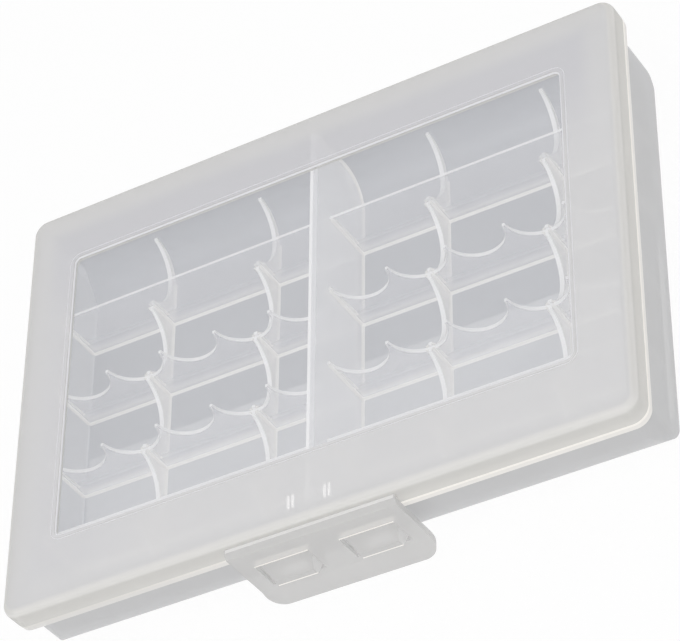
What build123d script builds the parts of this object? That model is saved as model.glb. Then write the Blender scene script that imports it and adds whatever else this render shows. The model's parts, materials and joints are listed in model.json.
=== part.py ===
"""Clear plastic battery storage case: a compartmented tray, a snap lid and a latch flap.

The tray holds ten AA cells lying along X (five rows, two to a row) or ten AAA cells
lying along Y (five to each side of the centre wall).  One shot of polypropylene makes
the whole case: tray, lid and flap hang together on thin film hinges.

Frame: millimetres, +Z up, +X to the right, +Y to the hinge side.
Origin: centre of the tray's flat underside.  The lid is shut.
"""
import os
from math import radians, tan

from build123d import *

# ---------------------------------------------------------------- cells that the case holds
AA_DIAMETER = 14.5
AAA_DIAMETER = 10.5
ROW_CLEARANCE = 0.25          # free width in a row, over the AA cell
TROUGH_CLEARANCE = 0.45       # the same in the front and rear rows
SEAT_CLEARANCE = 0.1          # radial clearance of both kinds of cradle
CELLS_PER_HALF = 5            # AAA cells on each side of the centre wall
AAA_PITCH = 11.2
END_CLEARANCE = 0.2           # free length at the outer end of the AAA block

# ---------------------------------------------------------------- walls and ribs of the tray
WALL = 1.2                    # side walls of the tray
FLOOR = 1.2
RIB_THICKNESS = 1.0           # long ribs between the rows, at the foot
RIB_DRAFT = 1.2               # degrees off upright on each face of the ribs and webs
CENTRE_THICKNESS = 1.0        # wall between the halves, at the foot
CENTRE_DRAFT = 0.7            # degrees off upright on each of its faces
WEB_THICKNESS = 0.9           # cross webs that cradle the AA cells, at the foot
END_RIB_HEIGHT = 11.0         # straight ribs, above the floor
CUSP_HEIGHT = 11.1            # points between two AAA cradles, above the floor
AAA_SEAT_HEIGHT = 5.9         # lowest point of an AAA cradle, above the floor
WEB_HEIGHT = 6.4              # webs, above the floor
AA_SEAT_HEIGHT = 1.5          # lowest point of an inner AA cradle, above the floor
TROUGH_SEAT_HEIGHT = 1.1      # the same in the front and rear rows
WEB_CELLS = range(1, CELLS_PER_HALF, 2)   # AAA cells, from the centre wall, that have a web

BELLY_RADIUS = 6.8            # inside radius along the front and rear of the floor
END_RADIUS = 0.4              # inside radius along the left and right of the floor
FOOT_RADIUS = 1.0             # outside radius along the left and right of the underside
TRAY_CORNER = 1.5             # inside radius of the tray's upright corners

# ---------------------------------------------------------------- heights above the underside
SEAM_Z = 14.15                # plane where lid and tray meet, and of the main hinge
SEAM_GAP = 0.1                # between the lid's skirt and the tray's flange
RIM_Z = 17.3                  # top of the tray's wall, inside the lid
LID_TOP_Z = 18.94
CENTRE_TOP_GAP = 0.2          # between the centre wall and the lid

# ---------------------------------------------------------------- lid
FLANGE_THICKNESS = 0.9
LID_END_OVERHANG = 1.3        # lid beyond the tray at the left and right
LID_SIDE_OVERHANG = 2.2       # lid beyond the tray at the front and rear
LID_CORNER = 2.9
LID_WALL = 1.1
LID_TOP_FILLET = 1.5
FLANGE_INSET = 0.1            # flange edge inside the lid's outer face
WINDOW_MARGIN_END = 10.1      # frosted border at the left and right of the window
WINDOW_MARGIN_FRONT = 12.9
WINDOW_MARGIN_REAR = 12.2
WINDOW_CORNER = 1.4
WINDOW_STEP = 0.3             # window face below the border
WINDOW_THICKNESS = 0.8
LOCATOR_X = 3.4               # locating ribs under the lid's front border
LOCATOR_SPACING = 0.85
LOCATOR_THICKNESS = 0.35
LOCATOR_LENGTH = 2.4
LOCATOR_DEPTH = 0.9
LOCATOR_GAP = 0.6             # from the locating ribs to the tray's rim

# ---------------------------------------------------------------- main film hinge
HINGE_X = 30.0                # centre of each hinge strip
HINGE_LENGTH = 24.0
LEAF_DEPTH = 1.5              # leaf beyond the lid's rear face
LEAF_THICKNESS = 0.9
FILM = 0.3                    # thickness of a leaf at the fold
FOLD_GAP = 0.1                # from a leaf's end to the fold line

# ---------------------------------------------------------------- latch
FLAP_WIDTH = 31.8
FLAP_THICKNESS = 1.1
FLAP_GAP = 0.45               # between the flap and the lid's skirt
FLAP_TOP_Z = 17.15
FLAP_BOTTOM_Z = 1.6
FLAP_BEVEL = 0.8              # slope at the flap's upper edge, down from the film
FLAP_CORNER = 3.2
FLARE_Z = 5.4                 # thumb lip bends outward below this height
FLARE_OUT = 0.9
FLARE_RADIUS = 3.0
LIP_THICKNESS = 0.85          # lip on the lid that carries the flap's film
LIP_GAP = 0.15                # from the lip to the flap's fold line
CATCH_WIDTH = 7.4
CATCH_SIDE_GAP = 1.35         # from a catch to the side of its window in the flap
CATCH_TOP_Z = 12.0
CATCH_LEDGE_Z = 7.0           # underside of the catches, which holds the flap
CATCH_TIP = 1.4               # upright face at the tip of a catch
CATCH_GAP = 0.35              # above and below a catch in its window
CATCH_WALL = 1.0
CATCH_PROUD = 0.9             # catch tip beyond the flap's outer face

# ---------------------------------------------------------------- worked out from the above
row_gap = AA_DIAMETER + ROW_CLEARANCE
row_pitch = row_gap + RIB_THICKNESS
trough_gap = AA_DIAMETER + TROUGH_CLEARANCE
inner_x = CENTRE_THICKNESS / 2 + CELLS_PER_HALF * AAA_PITCH + END_CLEARANCE
inner_y = 1.5 * row_pitch + RIB_THICKNESS / 2 + trough_gap
tray_x = inner_x + WALL
tray_y = inner_y + WALL
lid_x = tray_x + LID_END_OVERHANG
lid_y = tray_y + LID_SIDE_OVERHANG
lid_under_z = LID_TOP_Z - LID_WALL
centre_top_z = lid_under_z - CENTRE_TOP_GAP
skirt_z = SEAM_Z + SEAM_GAP / 2
flange_z = SEAM_Z - SEAM_GAP / 2
window_x = lid_x - WINDOW_MARGIN_END
window_y = lid_y - (WINDOW_MARGIN_FRONT + WINDOW_MARGIN_REAR) / 2
window_middle_y = (WINDOW_MARGIN_FRONT - WINDOW_MARGIN_REAR) / 2
fold_y = lid_y + LEAF_DEPTH + FOLD_GAP
flap_inner_y = -(lid_y + FLAP_GAP)
flap_outer_y = flap_inner_y - FLAP_THICKNESS
catch_tip_y = flap_outer_y - CATCH_PROUD
catch_x = FLAP_WIDTH / 4
end_rib_y = 1.5 * row_pitch
cradle_rib_y = 0.5 * row_pitch
web_places = [CENTRE_THICKNESS / 2 + (cell + 0.5) * AAA_PITCH for cell in WEB_CELLS]
trough_y = inner_y - trough_gap / 2


def block(x0, x1, y0, y1, z0, z1):
    """A box from its lowest to its highest corner."""
    corner = (min(x0, x1), min(y0, y1), min(z0, z1))
    size = (abs(x1 - x0), abs(y1 - y0), abs(z1 - z0))
    return Pos(*corner) * Box(*size, align=(Align.MIN, Align.MIN, Align.MIN))


def slab(half_x, half_y, z0, z1, radius):
    """A plate with rounded corners, centred on the Z axis."""
    outline = RectangleRounded(2 * half_x, 2 * half_y, radius)
    return Pos(0, 0, z0) * extrude(outline, z1 - z0)


def along_x(points, x0, x1):
    """A side profile of (y, z) points, drawn out from x0 to x1."""
    outline = Plane.YZ * Polyline(*points, close=True)
    return Pos(x0, 0, 0) * extrude(make_face(outline), x1 - x0, dir=(1, 0, 0))


def along_y(points, y0, y1):
    """An end profile of (x, z) points, drawn out from y0 to y1."""
    outline = Plane.XZ * Polyline(*points, close=True)
    return Pos(0, y0, 0) * extrude(make_face(outline), y1 - y0, dir=(0, 1, 0))


def drafted(middle, foot, height, draft):
    """Profile of an upright wall that thins towards its top, from the floor up."""
    lean = height * tan(radians(draft))
    return [(middle - foot / 2, FLOOR), (middle + foot / 2, FLOOR),
            (middle + foot / 2 - lean, FLOOR + height), (middle - foot / 2 + lean, FLOOR + height)]


def tub(half_x, half_y, z0, z1, belly, end_radius, corner):
    """The tray's form: a rounded plan, and a round belly along front and rear."""
    plan = slab(half_x, half_y, z0, z1, corner)
    plan = fillet(plan.faces().sort_by(Axis.Z)[0].edges(), end_radius)
    side = block(-half_x, half_x, -half_y, half_y, z0, z1)
    low_edges = side.faces().sort_by(Axis.Z)[0].edges().filter_by(Axis.X)
    return plan & fillet(low_edges, belly)


def hollow():
    """The space inside the tray, up to its rim."""
    return tub(inner_x, inner_y, FLOOR, RIM_Z, BELLY_RADIUS, END_RADIUS, TRAY_CORNER)


def tray():
    """Floor and walls, with the flange that the lid's skirt comes down on."""
    outer = tub(tray_x, tray_y, 0, RIM_Z, BELLY_RADIUS + WALL, FOOT_RADIUS,
                TRAY_CORNER + WALL)
    flange = slab(lid_x - FLANGE_INSET, lid_y - FLANGE_INSET,
                  flange_z - FLANGE_THICKNESS, flange_z, LID_CORNER - FLANGE_INSET)
    return outer + flange - hollow()


def centre_blank():
    """The wall between the two halves, before it is cut to the tray's inside."""
    profile = drafted(0, CENTRE_THICKNESS, centre_top_z - FLOOR, CENTRE_DRAFT)
    return along_y(profile, -inner_y, inner_y)


def centre_wall(space):
    """The wall between the two halves, which reaches up to the lid."""
    crown = block(-CENTRE_THICKNESS, CENTRE_THICKNESS, -inner_y, inner_y, RIM_Z, centre_top_z)
    return (centre_blank() & space) + (centre_blank() & crown)


def rib_blank(y, height):
    """A long rib in two halves, one each side of the centre wall."""
    profile = drafted(y, RIB_THICKNESS, height, RIB_DRAFT)
    return [along_x(profile, -inner_x, 0) - centre_blank(),
            along_x(profile, 0, inner_x) - centre_blank()]


def end_rib(y, space):
    """A straight rib: the ends of the AAA cells stand against it."""
    return Compound(children=[half & space for half in rib_blank(y, END_RIB_HEIGHT)])


def cradle_rib(y, space):
    """A scalloped rib: each hollow seats one AAA cell."""
    radius = AAA_DIAMETER / 2 + SEAT_CLEARANCE
    seat_z = FLOOR + AAA_SEAT_HEIGHT + radius
    halves = []
    for side, half in zip((-1, 1), rib_blank(y, CUSP_HEIGHT)):
        for cell in range(CELLS_PER_HALF):
            x = side * (CENTRE_THICKNESS / 2 + (cell + 0.5) * AAA_PITCH)
            bore = Cylinder(radius, 2 * RIB_THICKNESS, rotation=(90, 0, 0))
            half -= Pos(x, y, seat_z) * bore
        halves.append(half & space)
    return Compound(children=halves)


def cradle_web(x, space):
    """A cross web between the ribs, scooped to seat an AA cell in each row."""
    radius = AA_DIAMETER / 2 + SEAT_CLEARANCE
    rows = [(row * row_pitch, row_gap, AA_SEAT_HEIGHT) for row in (-1, 0, 1)]
    rows += [(side * trough_y, trough_gap, TROUGH_SEAT_HEIGHT) for side in (-1, 1)]
    across = along_y(drafted(x, WEB_THICKNESS, WEB_HEIGHT, RIB_DRAFT), -inner_y, inner_y)
    pieces = []
    for y, gap, seat_height in rows:
        between_ribs = drafted(y, gap, WEB_HEIGHT, -RIB_DRAFT)
        piece = along_x(between_ribs, x - WEB_THICKNESS, x + WEB_THICKNESS) & across
        scoop = Cylinder(radius, 2 * WEB_THICKNESS, rotation=(0, 90, 0))
        piece -= Pos(x, y, FLOOR + seat_height + radius) * scoop
        pieces.append(piece & space)
    return Compound(children=pieces)


def catch(x):
    """A ramped hook on the tray's front, cored out from below."""
    shoulder_z = CATCH_LEDGE_Z + CATCH_TIP
    side = [(-tray_y, CATCH_LEDGE_Z), (catch_tip_y, CATCH_LEDGE_Z), (catch_tip_y, shoulder_z),
            (flap_inner_y + FLAP_GAP, CATCH_TOP_Z), (-tray_y, CATCH_TOP_Z)]
    core = [(-tray_y, CATCH_LEDGE_Z), (catch_tip_y + CATCH_WALL, CATCH_LEDGE_Z),
            (catch_tip_y + CATCH_WALL, shoulder_z),
            (flap_inner_y + FLAP_GAP + CATCH_WALL, CATCH_TOP_Z - CATCH_WALL),
            (-tray_y, CATCH_TOP_Z - CATCH_WALL)]
    half = CATCH_WIDTH / 2
    hook = along_x(side, x - half, x + half)
    return hook - along_x(core, x - half + CATCH_WALL, x + half - CATCH_WALL)


def hinge_leaves(root_y, root_z, up):
    """Two leaves that thin down to the film at the fold; up is 1 on the lid, -1 on the tray."""
    end_y = fold_y - FOLD_GAP
    slope = LEAF_THICKNESS - FILM
    side = [(root_y, root_z), (end_y, root_z), (end_y, root_z + up * FILM),
            (end_y - slope, root_z + up * LEAF_THICKNESS),
            (root_y, root_z + up * LEAF_THICKNESS)]
    leaves = []
    for x in (-HINGE_X, HINGE_X):
        leaves.append(along_x(side, x - HINGE_LENGTH / 2, x + HINGE_LENGTH / 2))
    return Compound(children=leaves)


def lid_frame():
    """Skirt and frosted border of the lid, with the lip that carries the latch flap."""
    shell = slab(lid_x, lid_y, skirt_z, LID_TOP_Z, LID_CORNER)
    shell = fillet(shell.faces().sort_by(Axis.Z)[-1].edges(), LID_TOP_FILLET)
    inside = slab(lid_x - LID_WALL, lid_y - LID_WALL, skirt_z, lid_under_z,
                  LID_CORNER - LID_WALL)
    inside = fillet(inside.faces().sort_by(Axis.Z)[-1].edges(), LID_TOP_FILLET - LID_WALL)
    opening = Pos(0, window_middle_y, 0) * slab(window_x, window_y, lid_under_z, LID_TOP_Z,
                                                WINDOW_CORNER)
    lip = block(-FLAP_WIDTH / 2, FLAP_WIDTH / 2, flap_inner_y + LIP_GAP, -lid_y + LID_WALL / 2,
                FLAP_TOP_Z - LIP_THICKNESS, FLAP_TOP_Z)
    return shell + lip - inside - opening


def lid_window():
    """The clear panel, a step below the frosted border."""
    top = LID_TOP_Z - WINDOW_STEP
    panel = slab(window_x, window_y, top - WINDOW_THICKNESS, top, WINDOW_CORNER)
    return Pos(0, window_middle_y, 0) * panel


def locators():
    """Two pairs of fine ribs under the border that steady the tray's front rim."""
    front = -inner_y + LOCATOR_GAP
    ribs = []
    for x in (-LOCATOR_X, LOCATOR_X):
        for side in (-1, 1):
            middle = x + side * LOCATOR_SPACING / 2
            ribs.append(block(middle - LOCATOR_THICKNESS / 2, middle + LOCATOR_THICKNESS / 2,
                              front, front + LOCATOR_LENGTH,
                              lid_under_z - LOCATOR_DEPTH, lid_under_z))
    return Compound(children=ribs)


def latch_flap():
    """The flap: two windows for the catches, and a lip for the thumb below them."""
    side = [(flap_inner_y, FLAP_TOP_Z), (flap_inner_y, FLARE_Z),
            (flap_inner_y - FLARE_OUT, FLAP_BOTTOM_Z), (flap_outer_y - FLARE_OUT, FLAP_BOTTOM_Z),
            (flap_outer_y, FLARE_Z), (flap_outer_y, FLAP_TOP_Z - FLAP_BEVEL),
            (flap_inner_y - FILM, FLAP_TOP_Z)]
    half = FLAP_WIDTH / 2
    flap = along_x(side, -half, half)
    bends = flap.edges().filter_by(Axis.X).filter_by(
        lambda edge: abs(edge.center().Z - FLARE_Z) < FILM)
    flap = fillet(bends, FLARE_RADIUS)
    low_corners = flap.edges().filter_by(
        lambda edge: edge.center().Z < FLAP_BOTTOM_Z + FILM and abs(edge.center().X) > half - FILM)
    flap = fillet(low_corners, FLAP_CORNER)
    for x in (-catch_x, catch_x):
        reach = CATCH_WIDTH / 2 + CATCH_SIDE_GAP
        flap -= block(x - reach, x + reach, flap_inner_y + FLAP_GAP, flap_outer_y - FLAP_GAP,
                      CATCH_LEDGE_Z - CATCH_GAP, CATCH_TOP_Z + CATCH_GAP)
    return flap


def main():
    """Build every sub-part and write each to its own STEP file."""
    space = hollow()
    ribs = {"end_rib_front": end_rib(-end_rib_y, space),
            "cradle_rib_front": cradle_rib(-cradle_rib_y, space),
            "cradle_rib_rear": cradle_rib(cradle_rib_y, space),
            "end_rib_rear": end_rib(end_rib_y, space)}
    nodes = {"tray": tray(), "centre_wall": centre_wall(space), **ribs}
    web_x = sorted([-x for x in web_places] + web_places)
    for number, x in enumerate(web_x, start=1):
        nodes[f"aa_cradle_web_{number}"] = cradle_web(x, space)
    nodes["catch_left"] = catch(-catch_x)
    nodes["catch_right"] = catch(catch_x)
    nodes["tray_hinge_leaves"] = hinge_leaves(lid_y - FLANGE_INSET, flange_z, -1)
    nodes["lid"] = lid_frame()
    nodes["lid_window"] = lid_window()
    nodes["lid_locating_ribs"] = locators()
    nodes["lid_hinge_leaves"] = hinge_leaves(lid_y, skirt_z, 1)
    nodes["latch_flap"] = latch_flap()

    os.makedirs("parts", exist_ok=True)
    for name, shape in nodes.items():
        export_step(shape, f"parts/{name}.step")
        print(name, len(shape.solids()), round(shape.volume, 2))
    print("row pitch", row_pitch, "lid", 2 * lid_x, 2 * lid_y, "fold y", fold_y)


main()
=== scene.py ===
"""Looks of the clear battery storage case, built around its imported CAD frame.

Everything is in metres, in the case's own frame: +X right, +Y to the hinge, +Z up.
"""
import json
from math import cos, pi, radians, sin, tan

import bpy
import bmesh
from mathutils import Matrix, Vector


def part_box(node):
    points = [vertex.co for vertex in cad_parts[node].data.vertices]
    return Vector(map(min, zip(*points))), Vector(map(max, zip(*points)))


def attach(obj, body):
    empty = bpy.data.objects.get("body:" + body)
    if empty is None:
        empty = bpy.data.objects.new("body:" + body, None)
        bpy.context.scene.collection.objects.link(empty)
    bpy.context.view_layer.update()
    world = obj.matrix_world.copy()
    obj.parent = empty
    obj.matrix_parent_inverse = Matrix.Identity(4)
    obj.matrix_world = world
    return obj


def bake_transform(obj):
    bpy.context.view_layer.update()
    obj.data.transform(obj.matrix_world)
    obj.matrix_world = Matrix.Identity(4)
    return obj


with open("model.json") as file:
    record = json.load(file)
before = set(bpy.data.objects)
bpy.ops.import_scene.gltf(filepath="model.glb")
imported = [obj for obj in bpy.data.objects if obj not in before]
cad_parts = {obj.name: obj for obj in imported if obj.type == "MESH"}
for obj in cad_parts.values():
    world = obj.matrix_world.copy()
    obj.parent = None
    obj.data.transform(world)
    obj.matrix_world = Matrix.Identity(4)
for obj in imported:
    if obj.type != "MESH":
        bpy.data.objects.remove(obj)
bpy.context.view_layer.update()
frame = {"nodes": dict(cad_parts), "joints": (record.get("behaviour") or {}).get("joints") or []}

MM = 0.001
UP = Vector((0, 0, 1))

# ---------------------------------------------------------------- places read from the frame
NODES = frame["nodes"]
JOINTS = {joint["name"]: joint for joint in frame["joints"]}
RIBS = ("end_rib_front", "cradle_rib_front", "cradle_rib_rear", "end_rib_rear")
WEBS = tuple(sorted(name for name in NODES if name.startswith("aa_cradle_web_")))
LID_LOW, LID_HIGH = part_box("lid")
TRAY_LOW, TRAY_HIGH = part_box("tray")
CENTRE_LOW, CENTRE_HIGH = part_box("centre_wall")
WINDOW_LOW, WINDOW_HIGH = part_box("lid_window")
FLAP_END_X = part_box("latch_flap")[1].x
CATCH_LOW, CATCH_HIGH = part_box("catch_right")
LOCATOR_FOOT_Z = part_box("lid_locating_ribs")[0].z
LEAF_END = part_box("lid_hinge_leaves")[1]
FOLD = Vector(JOINTS["lid_hinge"]["pos_m"])
FLAP_FOLD = Vector(JOINTS["latch_hinge"]["pos_m"])
FLOOR_Z = CENTRE_LOW.z
INNER_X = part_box("end_rib_rear")[1].x
INNER_Y = CENTRE_HIGH.y

# ---------------------------------------------------------------- sizes the frame can't tell
LID_CORNER = 2.9 * MM
WINDOW_CORNER = 1.4 * MM
WINDOW_BEAD = 0.2 * MM        # radius of the line round the window
WINDOW_BEAD_INSET = 0.06 * MM
BORDER_BEAD = 0.06 * MM       # radius of the finer line on the border
BORDER_BEAD_OUTSET = 0.75 * MM
BELLY_RADIUS = 6.8 * MM       # the curve from the tray's floor to its front and rear walls
RIB_DRAFT = radians(1.2)
CENTRE_DRAFT = radians(0.7)
WALL_FILLET_DROP = 0.4 * MM   # from the tray's top to the ends of the centre wall's fillets
RIB_FILLET_DROP = 0.1 * MM    # from a rib's top to the ends of its fillets
FILLET = 0.42 * MM
SUNK = 0.02 * MM              # how far a fillet's back lies inside the walls it joins
CATCH_SIDE_GAP = 1.35 * MM    # from a catch to the sides of its opening in the flap
CATCH_GAP = 0.35 * MM         # from a catch to the top of its opening
CATCH_TIP = 1.4 * MM          # height of a catch's upright front face
CHEEK_CLEARANCE = 0.15 * MM   # from a catch's cheek to the side of the opening
FLAP_GAP = 0.45 * MM          # from the flap's back to the top of the catches' slope
FOLD_BEHIND_FLAP = 0.075 * MM
HINGE_X = 30.0 * MM
HINGE_FILM = 0.1 * MM         # thickness
HINGE_FILM_LIFT = 0.17 * MM   # from the fold to the film's ends, above and below it
HINGE_FILM_BULGE = 0.12 * MM
HINGE_FILM_LAP = 0.25 * MM    # how far the film lies on each leaf
HINGE_FILM_WIDTH = 0.98       # share of the leaves' width
HINGE_GAP = 0.1 * MM          # from the ends of the leaves to the fold
LATCH_FILM = 0.12 * MM        # thickness
LATCH_FILM_LIFT = 0.03 * MM
LATCH_FILM_REACH = 0.28 * MM  # from the fold to each edge
LATCH_FILM_WIDTH = 0.985      # share of the flap's width

# ---------------------------------------------------------------- how the plastic carries light, and its painted highlights and glows
LIGHT_PASSED = 0.85           # share of the light that the milky plastic lets through
CROWN = 1.3 * MM              # height of the band below the centre wall's top with a painted glow
CROWN_GLOW = 0.06             # painted glow that the centre wall's band gives off
LOCATOR_GLOW = 0.9            # painted glow at the feet of the locating ribs
PAPER_GLOW = 0.92             # how far the paper is plain white to the camera
LINE = 0.28 * MM              # height of the painted highlight lines on the flap and the catches
CUT_EDGE = 0.5 * MM           # height of the painted highlight along the foot of the skirt
BLUR = 0.08 * MM              # how softly these lines end
TOUCH = 0.05 * MM             # how near a face counts as lying on a limit

# ---------------------------------------------------------------- cover, from 0 (clear) to 1
BORDER_COVER = 0.6
SKIRT_COVER = 0.85
TRAY_COVER = 0.7
TRAY_OUTSIDE_COVER = 0.85
FLANGE_COVER = 0.95
WALL_EDGE_COVER = 0.85
FLAP_COVER = 0.72
LINE_COVER = 0.95
FILM_COVER = 0.75
BEAD_COVER = 0.9
FILLET_COVER = 0.7

# ---------------------------------------------------------------- the photograph's view
IMAGE_WIDTH = 680
FOCAL_PIXELS = 3090.75
SENSOR_WIDTH = 36.0
CAMERA_PLACE = Vector((217.0, -316.9, 362.3)) * MM
CAMERA_AZIMUTH = radians(34.05)
CAMERA_ELEVATION = radians(42.44)
CAMERA_ROLL = radians(-44.56)

# ---------------------------------------------------------------- studio
SKY_STRENGTH = 0.66
FLOOR_REACH = 3.0
CLEAR_LAYERS = 48             # see-through faces that one ray may cross

# ---------------------------------------------------------------- colours, linear
FROSTED = (0.735, 0.730, 0.735)
# painted shade on the border over the tray's deep ends
FROSTED_SHADE = (0.685, 0.680, 0.705)
# painted shade: a darker copy of the frosted colour for the lid's upright faces
FROSTED_SKIRT_SHADE = (0.655, 0.646, 0.622)
# painted highlight on the lid's rounded top edge
FROSTED_HIGHLIGHT = (0.80, 0.79, 0.77)
# the tray is one plastic: its floor, inner end walls and outside carry painted light and shade,
# the inner end walls painted lighter than the floor
TRAY_FLOOR = (0.55, 0.56, 0.595)
TRAY_END_WALL_LIT = (0.72, 0.73, 0.76)
TRAY_OUTSIDE = (0.585, 0.585, 0.59)
# painted highlight on the cut edges, the tray's flange and the flap's lines
EDGE_HIGHLIGHT = (0.99, 0.96, 0.91)
# painted highlights on the fillets and the beads round the window
FILLET_HIGHLIGHT = (0.97, 0.96, 0.94)
BEAD_HIGHLIGHT = (0.83, 0.83, 0.86)
# the ribs, webs and centre wall: face colours painted lighter than the tray's floor, the webs and
# centre wall lighter still as painted light from the right; painted highlight on their edges
RIB_FACE_LIT = (0.81, 0.81, 0.84)
WEB_FACE_LIT = (0.95, 0.94, 0.94)
CENTRE_FACE_LIT = (0.95, 0.95, 0.97)
WALL_EDGE_HIGHLIGHT = (0.95, 0.95, 0.96)
WINDOW_GREY = (0.62, 0.63, 0.66)
FLAP_GREY = (0.61, 0.605, 0.60)
# painted light on the sides of the catches' openings
CHEEK_LIT = (0.72, 0.715, 0.71)
# painted highlight colour for the films at the folds
FILM_HIGHLIGHT = (0.84, 0.83, 0.82)
# painted glow colour for the locating ribs' feet
LOCATOR_GLOW_WHITE = (0.97, 0.96, 0.95)
PAPER = (0.97, 0.97, 0.97)


# ================================================================ node helpers
class Tree:
    """A material's node tree, with short calls for the nodes used here."""

    def __init__(self, name):
        self.material = bpy.data.materials.new(name)
        self.material.use_nodes = True
        self.nodes = self.material.node_tree.nodes
        self.links = self.material.node_tree.links
        self.nodes.clear()
        self.coords = self.nodes.new("ShaderNodeTexCoord")

    def link(self, value, socket):
        """Sets a socket to a number or a colour, or links another socket to it."""
        if isinstance(value, bpy.types.NodeSocket):
            self.links.new(value, socket)
        elif isinstance(value, tuple):
            socket.default_value = (*value, 1.0)[:len(socket.default_value)]
        else:
            socket.default_value = value

    def math(self, operation, first, second=0.0):
        node = self.nodes.new("ShaderNodeMath")
        node.operation = operation
        self.link(first, node.inputs[0])
        self.link(second, node.inputs[1])
        return node.outputs[0]

    def vector(self, operation, first, second):
        node = self.nodes.new("ShaderNodeVectorMath")
        node.operation = operation
        self.link(first, node.inputs[0])
        self.link(second, node.inputs[1])
        return node.outputs["Value" if operation == "DOT_PRODUCT" else "Vector"]

    def noise(self, scale, detail=3.0, stretch=(1.0, 1.0, 1.0)):
        mapping = self.nodes.new("ShaderNodeMapping")
        mapping.inputs["Scale"].default_value = stretch
        self.link(self.coords.outputs["Object"], mapping.inputs["Vector"])
        node = self.nodes.new("ShaderNodeTexNoise")
        node.inputs["Scale"].default_value = scale
        node.inputs["Detail"].default_value = detail
        self.link(mapping.outputs["Vector"], node.inputs["Vector"])
        return node.outputs["Fac"]

    def ramp(self, value, low, high, to_low=0.0, to_high=1.0, smooth=True):
        node = self.nodes.new("ShaderNodeMapRange")
        node.interpolation_type = "SMOOTHSTEP" if smooth else "LINEAR"
        self.link(value, node.inputs["Value"])
        node.inputs["From Min"].default_value = low
        node.inputs["From Max"].default_value = high
        node.inputs["To Min"].default_value = to_low
        node.inputs["To Max"].default_value = to_high
        return node.outputs[0]

    def mix(self, factor, first, second):
        node = self.nodes.new("ShaderNodeMix")
        node.data_type = "RGBA"
        self.link(factor, node.inputs["Factor"])
        self.link(first, node.inputs["A"])
        self.link(second, node.inputs["B"])
        return node.outputs["Result"]

    def split(self, output):
        """The X, Y and Z of an object-space place ("Object") or normal ("Normal")."""
        node = self.nodes.new("ShaderNodeSeparateXYZ")
        self.link(self.coords.outputs[output], node.inputs[0])
        return node.outputs

    def bump(self, height, strength, distance):
        node = self.nodes.new("ShaderNodeBump")
        node.inputs["Strength"].default_value = strength
        node.inputs["Distance"].default_value = distance
        self.link(height, node.inputs["Height"])
        return node.outputs["Normal"]

    def light_passes(self, alpha):
        """Milky plastic spreads the light that enters it, so it hardly shades what is behind."""
        path = self.nodes.new("ShaderNodeLightPath")
        lighting = self.math("MAXIMUM", path.outputs["Is Shadow Ray"],
                             path.outputs["Is Diffuse Ray"])
        kept = self.math("SUBTRACT", 1.0, self.math("MULTIPLY", lighting, LIGHT_PASSED))
        return self.math("MULTIPLY", alpha, kept)

    def shade(self, colour, alpha, roughness, normal=None):
        """Adds the Principled shader that the looks end in."""
        shader = self.nodes.new("ShaderNodeBsdfPrincipled")
        self.link(colour, shader.inputs["Base Color"])
        self.link(self.light_passes(alpha), shader.inputs["Alpha"])
        self.link(roughness, shader.inputs["Roughness"])
        shader.inputs["IOR"].default_value = 1.49
        if normal is not None:
            self.link(normal, shader.inputs["Normal"])
        return shader

    def finish(self, shader):
        """Links a shader to the output, and returns the material."""
        output = self.nodes.new("ShaderNodeOutputMaterial")
        self.link(shader.outputs[0], output.inputs["Surface"])
        return self.material


def speckled(tree, colour, spread, scale):
    """A colour with the faint cloudiness of moulded polypropylene."""
    dark = tuple(channel * (1 - spread) for channel in colour)
    light = tuple(min(1.0, channel * (1 + spread)) for channel in colour)
    return tree.mix(tree.noise(scale), dark, light)


def gloss(tree, low, high, scale):
    """A roughness that wanders a little over the surface."""
    return tree.ramp(tree.noise(scale), 0.25, 0.75, low, high, smooth=False)


def edge_highlight_strength(tree, left, right):
    """How strong a cut edge's painted highlight is: more towards the right, where the light comes
    from.
    """
    return tree.ramp(tree.split("Object")[0], -52 * MM, 20 * MM, left, right)


def edge_distance(tree, half_x, half_y, corner):
    """How far a point lies inside a rectangle with round corners, in metres."""
    x, y, _ = tree.split("Object")
    past_x = tree.math("SUBTRACT", tree.math("ABSOLUTE", x), half_x - corner)
    past_y = tree.math("SUBTRACT", tree.math("ABSOLUTE", y), half_y - corner)
    out_x = tree.math("MAXIMUM", past_x, 0.0)
    out_y = tree.math("MAXIMUM", past_y, 0.0)
    square = tree.math("ADD", tree.math("POWER", out_x, 2.0), tree.math("POWER", out_y, 2.0))
    inner = tree.math("MINIMUM", tree.math("MAXIMUM", past_x, past_y), 0.0)
    outside = tree.math("ADD", tree.math("SQRT", square), inner)
    return tree.math("SUBTRACT", corner, outside)


# ================================================================ materials
def shade_over_hollows(tree, x, y):
    """Where the border gets painted shade: over the deep ends of the tray, at the rear and left.
    """
    inside = edge_distance(tree, LID_HIGH.x, LID_HIGH.y, LID_CORNER)
    past_wall = tree.ramp(inside, 3.5 * MM, 7.5 * MM)
    rear = tree.ramp(y, 5 * MM, 32 * MM)
    left = tree.ramp(x, -48 * MM, -25 * MM, 0.4, 0.0)
    return tree.math("MULTIPLY", past_wall, tree.math("MAXIMUM", rear, left))


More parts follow.
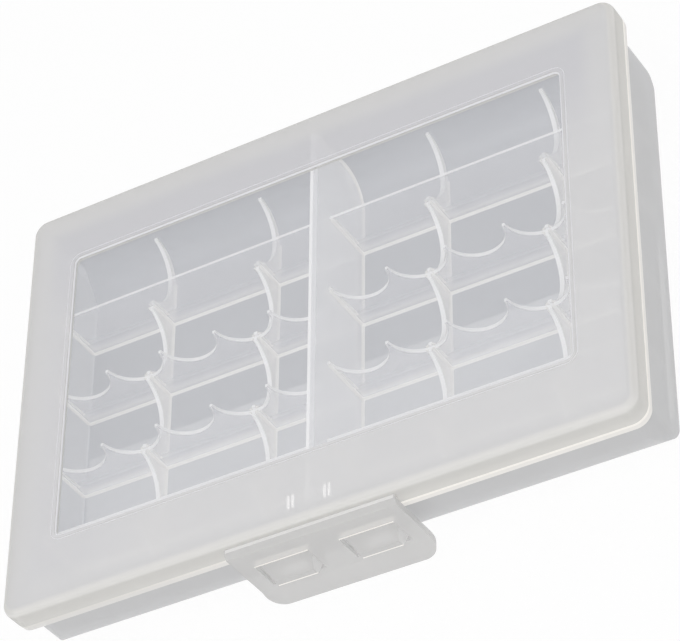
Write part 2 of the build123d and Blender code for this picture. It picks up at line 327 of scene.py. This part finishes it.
def frosted_lid():
    """Finely sparked border, with painted shade on its skirt and over the tray's deep ends, and
    painted highlights on its rounded top edge and along the cut edge under its skirt.
    """
    tree = Tree("frosted_lid")
    x, y, z = tree.split("Object")
    up = tree.split("Normal")[2]
    level = tree.ramp(tree.math("ABSOLUTE", up), 0.7, 0.99)
    # painted highlight on the rounded top edge, between level and upright faces
    shoulder = tree.math("MULTIPLY", tree.ramp(up, 0.06, 0.5), tree.ramp(up, 0.9, 1.0, 1.0, 0.0))
    colour = tree.mix(shade_over_hollows(tree, x, y), speckled(tree, FROSTED, 0.012, 90.0),
                      FROSTED_SHADE)
    # painted shade: upright faces take the darker skirt colour
    colour = tree.mix(level, speckled(tree, FROSTED_SKIRT_SHADE, 0.02, 90.0), colour)
    colour = tree.mix(shoulder, colour, FROSTED_HIGHLIGHT)
    above_cut = tree.math("SUBTRACT", z, LID_LOW.z)
    # painted highlight along the cut edge under the skirt, stronger to the right
    cut = tree.ramp(above_cut, CUT_EDGE - BLUR, CUT_EDGE + BLUR, 1.0, 0.0)
    bright = tree.math("MULTIPLY", cut, edge_highlight_strength(tree, 0.3, 1.0))
    colour = tree.mix(bright, colour, EDGE_HIGHLIGHT)
    alpha = tree.math("MAXIMUM", tree.ramp(up, 0.3, 0.95, SKIRT_COVER, BORDER_COVER), cut)
    grain = tree.noise(5200.0, 2.0)
    roughness = tree.ramp(tree.noise(400.0), 0.2, 0.8, 0.42, 0.55, smooth=False)
    return tree.finish(tree.shade(colour, alpha, roughness, tree.bump(grain, 0.1, 0.02 * MM)))


def clear_window():
    """Polished panel: mostly seen through, with a faint haze."""
    tree = Tree("clear_window")
    alpha = tree.ramp(tree.noise(35.0, 4.0, (1.0, 2.2, 1.0)), 0.3, 0.7, 0.09, 0.12)
    ripple = tree.bump(tree.noise(60.0, 1.0), 0.1, 0.05 * MM)
    return tree.finish(tree.shade(speckled(tree, WINDOW_GREY, 0.03, 40.0), alpha, 0.14, ripple))


def tray_plastic():
    """Milky walls and floor, denser from outside; painted lighter on the inner end walls, with a
    painted highlight on the flange's edge.
    """
    tree = Tree("tray_plastic")
    middle = (0.0, 0.0, (TRAY_LOW.z + TRAY_HIGH.z) / 2)
    from_middle = tree.vector("SUBTRACT", tree.coords.outputs["Object"], middle)
    outward = tree.vector("DOT_PRODUCT", from_middle, tree.coords.outputs["Normal"])
    outer = tree.ramp(outward, -1 * MM, 1 * MM)
    # painted light: the inner end walls get a lighter colour than the floor
    end_wall = tree.ramp(tree.math("ABSOLUTE", tree.split("Normal")[0]), 0.3, 0.8)
    within = tree.mix(end_wall, speckled(tree, TRAY_FLOOR, 0.03, 45.0), TRAY_END_WALL_LIT)
    colour = tree.mix(outer, within, speckled(tree, TRAY_OUTSIDE, 0.02, 60.0))
    inside = edge_distance(tree, TRAY_HIGH.x, TRAY_HIGH.y, LID_CORNER)
    # painted highlight along the flange's edge, stronger to the right
    flange = tree.ramp(inside, 0.1 * MM, 0.5 * MM, FLANGE_COVER, 0.0)
    bright = tree.math("MULTIPLY", flange, edge_highlight_strength(tree, 0.5, 0.8))
    colour = tree.mix(bright, colour, EDGE_HIGHLIGHT)
    alpha = tree.ramp(outer, 0.0, 1.0, TRAY_COVER, TRAY_OUTSIDE_COVER)
    alpha = tree.math("MAXIMUM", flange, alpha)
    return tree.finish(tree.shade(colour, alpha, gloss(tree, 0.3, 0.42, 120.0)))


def wall_plastic(name, across, face, foot_cover, face_cover, crown=0.0):
    """A thin wall whose faces point along the across axis, with a painted highlight on its edges;
    it is denser, so brighter, at its foot.

    A crown is the height of a denser band below the wall's top, with a painted glow. The underside
    is clear, because it lies on the floor.
    """
    tree = Tree(name)
    flat = tree.math("ABSOLUTE", tree.split("Normal")[across])
    # painted highlight on the wall's edges
    edge = tree.ramp(flat, 0.5, 0.8, 1.0, 0.0)
    above = tree.math("SUBTRACT", tree.split("Object")[2], FLOOR_Z)
    milky = tree.ramp(above, 0.4 * MM, 3.5 * MM, foot_cover, face_cover)
    band = 0.0
    # painted glow in the band below the centre wall's top
    if crown:
        crown_foot = CENTRE_HIGH.z - FLOOR_Z - crown
        band = tree.ramp(above, crown_foot - 0.2 * MM, crown_foot)
        milky = tree.math("MAXIMUM", milky, tree.math("MULTIPLY", band, WALL_EDGE_COVER))
    colour = tree.mix(edge, speckled(tree, face, 0.02, 60.0), WALL_EDGE_HIGHLIGHT)
    alpha = tree.math("MAXIMUM", milky, tree.math("MULTIPLY", edge, WALL_EDGE_COVER))
    open_side = tree.math("GREATER_THAN", above, SUNK)
    alpha = tree.math("MULTIPLY", alpha, open_side)
    shader = tree.shade(colour, alpha, gloss(tree, 0.28, 0.4, 150.0))
    shader.inputs["Emission Color"].default_value = (*WALL_EDGE_HIGHLIGHT, 1.0)
    tree.link(tree.math("MULTIPLY", band, CROWN_GLOW), shader.inputs["Emission Strength"])
    return tree.finish(shader)


def highlight_above(tree, z, start):
    """A painted highlight line from a height upwards, with a soft upper edge."""
    return tree.math("MULTIPLY", tree.math("GREATER_THAN", z, start - TOUCH),
                     tree.ramp(z, start + LINE - BLUR, start + LINE + BLUR, 1.0, 0.0))


def flap_plastic():
    """The flap and the catches, with painted highlight lines along their edges and painted light
    on the openings' sides.
    """
    tree = Tree("flap_plastic")
    x, y, z = tree.split("Object")
    reach_low = CATCH_LOW.x - CATCH_SIDE_GAP
    reach_high = CATCH_HIGH.x + CATCH_SIDE_GAP
    from_middle = tree.math("ABSOLUTE", x)
    beside = tree.math("MULTIPLY", tree.math("GREATER_THAN", from_middle, reach_low),
                       tree.math("LESS_THAN", from_middle, reach_high))
    window_top = CATCH_HIGH.z + CATCH_GAP
    # painted highlight lines over the openings and under the catches' tips
    over = highlight_above(tree, z, window_top)
    tip = tree.math("MULTIPLY", tree.ramp(y, CATCH_LOW.y, CATCH_LOW.y + 0.2 * MM, 1.0, 0.0),
                    highlight_above(tree, z, CATCH_LOW.z))
    line = tree.math("MAXIMUM", tree.math("MULTIPLY", beside, over), tip)
    # painted light on faces turned sideways at the openings
    sideways = tree.ramp(tree.math("ABSOLUTE", tree.split("Normal")[0]), 0.2, 0.6)
    cheek = tree.math("MULTIPLY", sideways,
                      tree.math("LESS_THAN", from_middle, reach_high + 0.2 * MM))
    colour = tree.mix(cheek, speckled(tree, FLAP_GREY, 0.02, 70.0), CHEEK_LIT)
    colour = tree.mix(line, colour, EDGE_HIGHLIGHT)
    alpha = tree.ramp(tree.math("MAXIMUM", line, cheek), 0.0, 1.0, FLAP_COVER, LINE_COVER)
    return tree.finish(tree.shade(colour, alpha, gloss(tree, 0.3, 0.42, 140.0)))


def film_plastic(name, colour, cover):
    """Thin or cut places painted pale as highlights: the films, beads and fillets."""
    tree = Tree(name)
    return tree.finish(tree.shade(speckled(tree, colour, 0.03, 120.0), cover,
                                  gloss(tree, 0.26, 0.4, 260.0)))


def locator_plastic():
    """The locating ribs: a painted glow at their feet, seen also through the border above them."""
    tree = Tree("locator_plastic")
    # painted glow at the feet
    foot = tree.ramp(tree.split("Object")[2], LOCATOR_FOOT_Z + 0.15 * MM,
                     LOCATOR_FOOT_Z + 0.4 * MM, 1.0, 0.0)
    shader = tree.shade(speckled(tree, LOCATOR_GLOW_WHITE, 0.02, 300.0), foot, 0.35)
    shader.inputs["Emission Color"].default_value = (*LOCATOR_GLOW_WHITE, 1.0)
    shader.inputs["Emission Strength"].default_value = LOCATOR_GLOW
    return tree.finish(shader)


def floor_paper():
    """White paper: plain white to the camera and in reflections, with the case's faint shadow."""
    tree = Tree("floor_paper")
    paper = tree.nodes.new("ShaderNodeBsdfDiffuse")
    tree.link(speckled(tree, PAPER, 0.004, 6.0), paper.inputs["Color"])
    glow = tree.nodes.new("ShaderNodeEmission")
    path = tree.nodes.new("ShaderNodeLightPath")
    seen = tree.math("MAXIMUM", path.outputs["Is Camera Ray"], path.outputs["Is Glossy Ray"])
    seen = tree.math("MAXIMUM", seen, path.outputs["Is Transmission Ray"])
    blend = tree.nodes.new("ShaderNodeMixShader")
    tree.link(tree.math("MULTIPLY", seen, PAPER_GLOW), blend.inputs[0])
    tree.link(paper.outputs[0], blend.inputs[1])
    tree.link(glow.outputs[0], blend.inputs[2])
    return tree.finish(blend)


# ================================================================ mesh helpers
def new_object(name, mesh, material, body):
    """Links a finished mesh as a piece that rides on a body."""
    mesh.materials.append(material)
    piece = bpy.data.objects.new(name, mesh)
    bpy.context.scene.collection.objects.link(piece)
    if body is not None:
        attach(piece, body)
    return piece


def sweep(built, section, rings, closed=False):
    """Adds a section of (across, up) points to a bmesh, carried along rings of frames."""
    rows = []
    for origin, across, up in rings:
        rows.append([built.verts.new(origin + across * a + up * u) for a, u in section])
    count = len(section)
    pairs = list(zip(rows, rows[1:]))
    if closed:
        pairs.append((rows[-1], rows[0]))
    faces = []
    for row, following in pairs:
        for index in range(count):
            after = (index + 1) % count
            faces.append(built.faces.new((row[index], row[after], following[after],
                                          following[index])))
    if not closed:
        faces.append(built.faces.new(rows[0]))
        faces.append(built.faces.new(reversed(rows[-1])))
    bmesh.ops.recalc_face_normals(built, faces=faces)


def finished(built, name, angle=40.0):
    """Turns a bmesh into a mesh with smooth faces and sharp edges."""
    mesh = bpy.data.meshes.new(name)
    built.to_mesh(mesh)
    built.free()
    mesh.shade_smooth()
    mesh.set_sharp_from_angle(angle=radians(angle))
    return mesh


def half_round(radius, steps=6):
    """A bead's section: a half circle standing on a flat."""
    return [(radius * cos(pi * k / steps), radius * sin(pi * k / steps)) for k in range(steps + 1)]


def cove(radius, steps=4):
    """A fillet's section: the corner between two walls, hollowed out."""
    arc = [(radius - radius * sin(pi / 2 * k / steps), radius - radius * cos(pi / 2 * k / steps))
           for k in range(steps + 1)]
    return [(-SUNK, -SUNK), (radius, -SUNK)] + arc + [(-SUNK, radius)]


def strip(width, thickness):
    """A flat film's section, centred across and along its thickness."""
    return [(-width / 2, -thickness / 2), (width / 2, -thickness / 2),
            (width / 2, thickness / 2), (-width / 2, thickness / 2)]


# ================================================================ pieces of the lid
def window_ring(built, outset, radius, z):
    """One bead along the window's outline, set out from it by a distance."""
    steps = 6
    corner = WINDOW_CORNER + outset
    middle = (WINDOW_LOW + WINDOW_HIGH) / 2
    half = (WINDOW_HIGH - WINDOW_LOW) / 2
    rings = []
    for quarter, (sign_x, sign_y) in enumerate(((1, 1), (-1, 1), (-1, -1), (1, -1))):
        centre = Vector((middle.x + sign_x * (half.x - WINDOW_CORNER),
                         middle.y + sign_y * (half.y - WINDOW_CORNER), z))
        for step in range(steps + 1):
            angle = pi / 2 * (quarter + step / steps)
            outward = Vector((cos(angle), sin(angle), 0))
            rings.append((centre + outward * corner, outward, UP))
    sweep(built, half_round(radius), rings, closed=True)


def window_bead(material):
    """The bead at the window's edge, painted pale as a highlight line, and a finer one on the
    border outside it.
    """
    built = bmesh.new()
    window_ring(built, -WINDOW_BEAD_INSET, WINDOW_BEAD, WINDOW_HIGH.z)
    window_ring(built, BORDER_BEAD_OUTSET, BORDER_BEAD, LID_HIGH.z)
    return new_object("window_bead", finished(built, "window_bead"), material, "case_lid")


def hinge_film(name, x, material):
    """The thin strip that joins the two leaves, folded round behind them while shut."""
    width = 2 * (LEAF_END.x - HINGE_X) * HINGE_FILM_WIDTH
    steps = 14
    start_y = LEAF_END.y - HINGE_FILM_LAP
    bend_y = FOLD.y - HINGE_GAP
    path = [Vector((x, start_y, FOLD.z - HINGE_FILM_LIFT))]
    for step in range(steps + 1):
        angle = pi * step / steps
        path.append(Vector((x, bend_y + HINGE_FILM_BULGE * sin(angle),
                            FOLD.z - HINGE_FILM_LIFT * cos(angle))))
    path.append(Vector((x, start_y, FOLD.z + HINGE_FILM_LIFT)))
    rings = []
    for index, point in enumerate(path):
        along = (path[min(index + 1, len(path) - 1)] - path[max(index - 1, 0)]).normalized()
        rings.append((point, Vector((1, 0, 0)), Vector((0, along.z, -along.y))))
    built = bmesh.new()
    sweep(built, strip(width, HINGE_FILM), rings)
    piece = new_object(name, finished(built, name), material, None)
    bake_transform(piece)
    return piece


def latch_film(material):
    """The thin strip from the lid's lip to the top of the flap, painted pale as a highlight along
    the fold.
    """
    steps = 8
    z = FLAP_FOLD.z + LATCH_FILM_LIFT - LATCH_FILM / 2
    rings = []
    for step in range(steps + 1):
        y = FLAP_FOLD.y + LATCH_FILM_REACH * (1 - 2 * step / steps)
        rings.append((Vector((0, y, z)), Vector((1, 0, 0)), UP))
    built = bmesh.new()
    sweep(built, strip(2 * FLAP_END_X * LATCH_FILM_WIDTH, LATCH_FILM), rings)
    piece = new_object("latch_film", finished(built, "latch_film"), material, None)
    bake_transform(piece)
    return piece


# ================================================================ pieces of the tray
def catch_cheeks(material):
    """Splayed sides of the catches: wide at the tray's wall, drawn in to the tip."""
    splay = CATCH_SIDE_GAP - CHEEK_CLEARANCE
    shoulder_z = CATCH_LOW.z + CATCH_TIP
    flap_back = FLAP_FOLD.y - FOLD_BEHIND_FLAP
    ramp_back = flap_back + FLAP_GAP
    climb = (CATCH_HIGH.z - shoulder_z) / (ramp_back - CATCH_LOW.y)
    # each point: its y, how far out from the catch's side it lies, and its height
    plan = [(CATCH_LOW.y, 0.0, shoulder_z),
            (flap_back, splay, shoulder_z + climb * (flap_back - CATCH_LOW.y)),
            (ramp_back, splay, CATCH_HIGH.z), (CATCH_HIGH.y, splay, CATCH_HIGH.z),
            (CATCH_HIGH.y, -SUNK, CATCH_HIGH.z), (ramp_back, -SUNK, CATCH_HIGH.z),
            (CATCH_LOW.y, -SUNK, shoulder_z)]
    built = bmesh.new()
    for catch in ("catch_left", "catch_right"):
        low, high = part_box(catch)
        for edge, side in ((low.x, -1), (high.x, 1)):
            feet = [built.verts.new((edge + side * out, y, CATCH_LOW.z)) for y, out, _ in plan]
            tops = [built.verts.new((edge + side * out, y, z)) for y, out, z in plan]
            slope = (tops[0], tops[1], tops[2], tops[5], tops[6])
            faces = [built.faces.new(corners) for corners in (feet, slope, tops[2:6])]
            for index in range(len(plan)):
                after = (index + 1) % len(plan)
                faces.append(built.faces.new((feet[index], feet[after], tops[after], tops[index])))
            bmesh.ops.recalc_face_normals(built, faces=faces)
    return new_object("catch_cheeks", finished(built, "catch_cheeks", 30.0), material,
                      "case_tray")


def inner_path(top_z):
    """Places and normals along the tray's inside: front wall, belly, floor, belly, rear wall."""
    steps = 8
    bend_y = INNER_Y - BELLY_RADIUS
    bend_z = FLOOR_Z + BELLY_RADIUS
    path = []
    for side, turns in ((-1, range(steps, -1, -1)), (1, range(steps + 1))):
        belly = []
        for turn in turns:
            angle = pi / 2 * turn / steps
            belly.append((side * (bend_y + BELLY_RADIUS * sin(angle)),
                          bend_z - BELLY_RADIUS * cos(angle),
                          Vector((0, -side * sin(angle), cos(angle)))))
        wall = (side * INNER_Y, top_z, Vector((0, -side, 0)))
        path += [wall] + belly if side < 0 else belly + [wall]
    return path


def foot_fillet(built, x, side, draft, path):
    """A fillet on a wall that faces side times X, along a path over the tray's inside."""
    rings = [(Vector((x - side * (z - FLOOR_Z) * tan(draft), y, z)), Vector((side, 0, 0)), up)
             for y, z, up in path]
    sweep(built, cove(FILLET), rings)


def upright_fillet(built, x, y, side_x, side_y, top_z):
    """A fillet up the corner where a rib or web meets a wall."""
    lean = (top_z - FLOOR_Z) * tan(RIB_DRAFT)
    across = Vector((side_x, 0, 0))
    along = Vector((0, side_y, 0))
    foot = Vector((x, y, FLOOR_Z))
    head = Vector((x, y - side_y * lean, top_z))
    sweep(built, cove(FILLET), [(foot, across, along), (head, across, along)])


def centre_fillets(material):
    """Both feet of the centre wall, over the floor and up the bellies."""
    built = bmesh.new()
    for side in (-1, 1):
        foot_fillet(built, side * CENTRE_HIGH.x, side, CENTRE_DRAFT,
                    inner_path(TRAY_HIGH.z - WALL_FILLET_DROP))
    return new_object("centre_fillets", finished(built, "centre_fillets", 60.0), material,
                      "case_tray")


def rib_fillets(material):
    """Along both feet of every rib, and up its corners with the walls at its ends."""
    built = bmesh.new()
    for rib in RIBS:
        low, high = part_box(rib)
        for y, way in ((low.y, -1), (high.y, 1)):
            for side in (-1, 1):
                start = Vector((side * CENTRE_HIGH.x, y, FLOOR_Z))
                end = Vector((side * INNER_X, y, FLOOR_Z))
                across = Vector((0, way, 0))
                sweep(built, cove(FILLET), [(start, across, UP), (end, across, UP)])
                upright_fillet(built, end.x, y, -side, way, high.z - RIB_FILLET_DROP)
                upright_fillet(built, start.x, y, side, way, high.z - RIB_FILLET_DROP)
    return new_object("rib_fillets", finished(built, "rib_fillets", 60.0), material,
                      "case_tray")


def web_fillets(material):
    """Along both feet of every web, row by row over the flat floor, and up its corners."""
    built = bmesh.new()
    boxes = [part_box(rib) for rib in RIBS]
    flat_end = INNER_Y - BELLY_RADIUS
    rows = [(-flat_end, boxes[0][0].y)]
    rows += [(front[1].y, rear[0].y) for front, rear in zip(boxes, boxes[1:])]
    rows += [(boxes[-1][1].y, flat_end)]
    for web in WEBS:
        low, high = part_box(web)
        for x, side in ((low.x, -1), (high.x, 1)):
            for front, rear in rows:
                foot_fillet(built, x, side, RIB_DRAFT,
                            [(front, FLOOR_Z, UP), (rear, FLOOR_Z, UP)])
                if front > -flat_end:
                    upright_fillet(built, x, front, side, 1, high.z)
                if rear < flat_end:
                    upright_fillet(built, x, rear, side, -1, high.z)
    return new_object("web_fillets", finished(built, "web_fillets", 60.0), material,
                      "case_tray")


# ================================================================ studio
def studio():
    """White floor, even sky, a broad soft light above and a weaker one from the right."""
    scene = bpy.context.scene
    scene.view_settings.view_transform = "Standard"
    scene.cycles.transparent_max_bounces = CLEAR_LAYERS

    world = bpy.data.worlds.new("studio")
    scene.world = world
    world.use_nodes = True
    background = world.node_tree.nodes["Background"]
    background.inputs["Color"].default_value = (1.0, 1.0, 1.0, 1.0)
    background.inputs["Strength"].default_value = SKY_STRENGTH

    built = bmesh.new()
    bmesh.ops.create_grid(built, x_segments=8, y_segments=8, size=FLOOR_REACH)
    mesh = bpy.data.meshes.new("floor")
    built.to_mesh(mesh)
    built.free()
    mesh.materials.append(floor_paper())
    floor = bpy.data.objects.new("floor", mesh)
    scene.collection.objects.link(floor)

    area_light("top_softbox", (-0.05, -0.42, 0.82), size=0.7, power=2.6)
    area_light("right_softbox", (0.6, -0.25, 0.4), size=1.0, power=0.5)


def area_light(name, place, size, power):
    """A square soft light aimed at the case."""
    light = bpy.data.lights.new(name, "AREA")
    light.energy = power
    light.size = size
    lamp = bpy.data.objects.new(name, light)
    lamp.location = place
    lamp.rotation_euler = Vector(place).to_track_quat("Z", "Y").to_euler()
    bpy.context.scene.collection.objects.link(lamp)


def camera():
    """The photograph's view: from the front right, above, and rolled."""
    back = Vector((cos(CAMERA_ELEVATION) * sin(CAMERA_AZIMUTH),
                   -cos(CAMERA_ELEVATION) * cos(CAMERA_AZIMUTH), sin(CAMERA_ELEVATION)))
    level = Vector((cos(CAMERA_AZIMUTH), sin(CAMERA_AZIMUTH), 0))
    upright = back.cross(level)
    right = level * cos(CAMERA_ROLL) + upright * sin(CAMERA_ROLL)
    up = back.cross(right)
    data = bpy.data.cameras.new("photo_camera")
    data.sensor_width = SENSOR_WIDTH
    data.sensor_fit = "HORIZONTAL"
    data.lens = SENSOR_WIDTH * FOCAL_PIXELS / IMAGE_WIDTH
    data.clip_start = 0.01
    view = bpy.data.objects.new("photo_camera", data)
    turn = Matrix((right, up, back)).transposed().to_4x4()
    view.matrix_world = Matrix.Translation(CAMERA_PLACE) @ turn
    bpy.context.scene.collection.objects.link(view)
    bpy.context.scene.camera = view


# ================================================================ the case
def dress_cad(finishes):
    """Gives every carried-over CAD node its material."""
    for name, node in NODES.items():
        node.data.materials.clear()
        node.data.materials.append(finishes[name])


def main():
    lid = frosted_lid()
    tray = tray_plastic()
    flap = flap_plastic()
    rib = wall_plastic("rib_plastic", 1, RIB_FACE_LIT, foot_cover=0.42, face_cover=0.27)
    web = wall_plastic("web_plastic", 0, WEB_FACE_LIT, foot_cover=0.7, face_cover=0.6)
    centre = wall_plastic("centre_plastic", 0, CENTRE_FACE_LIT, foot_cover=0.62, face_cover=0.56,
                          crown=CROWN)
    film = film_plastic("film_plastic", FILM_HIGHLIGHT, FILM_COVER)
    bead = film_plastic("bead_highlight", BEAD_HIGHLIGHT, BEAD_COVER)
    fillet = film_plastic("fillet_highlight", FILLET_HIGHLIGHT, FILLET_COVER)
    finishes = {"lid": lid, "lid_hinge_leaves": lid, "lid_locating_ribs": locator_plastic(),
                "lid_window": clear_window(), "tray": tray, "tray_hinge_leaves": tray,
                "catch_left": flap, "catch_right": flap, "latch_flap": flap,
                "centre_wall": centre}
    finishes.update({name: rib for name in RIBS})
    finishes.update({name: web for name in WEBS})
    dress_cad(finishes)
    window_bead(bead)
    for name, x in (("hinge_film_left", -HINGE_X), ("hinge_film_right", HINGE_X)):
        hinge_film(name, x, film)
    latch_film(film)
    catch_cheeks(flap)
    centre_fillets(fillet)
    rib_fillets(fillet)
    web_fillets(fillet)
    studio()
    camera()


main()
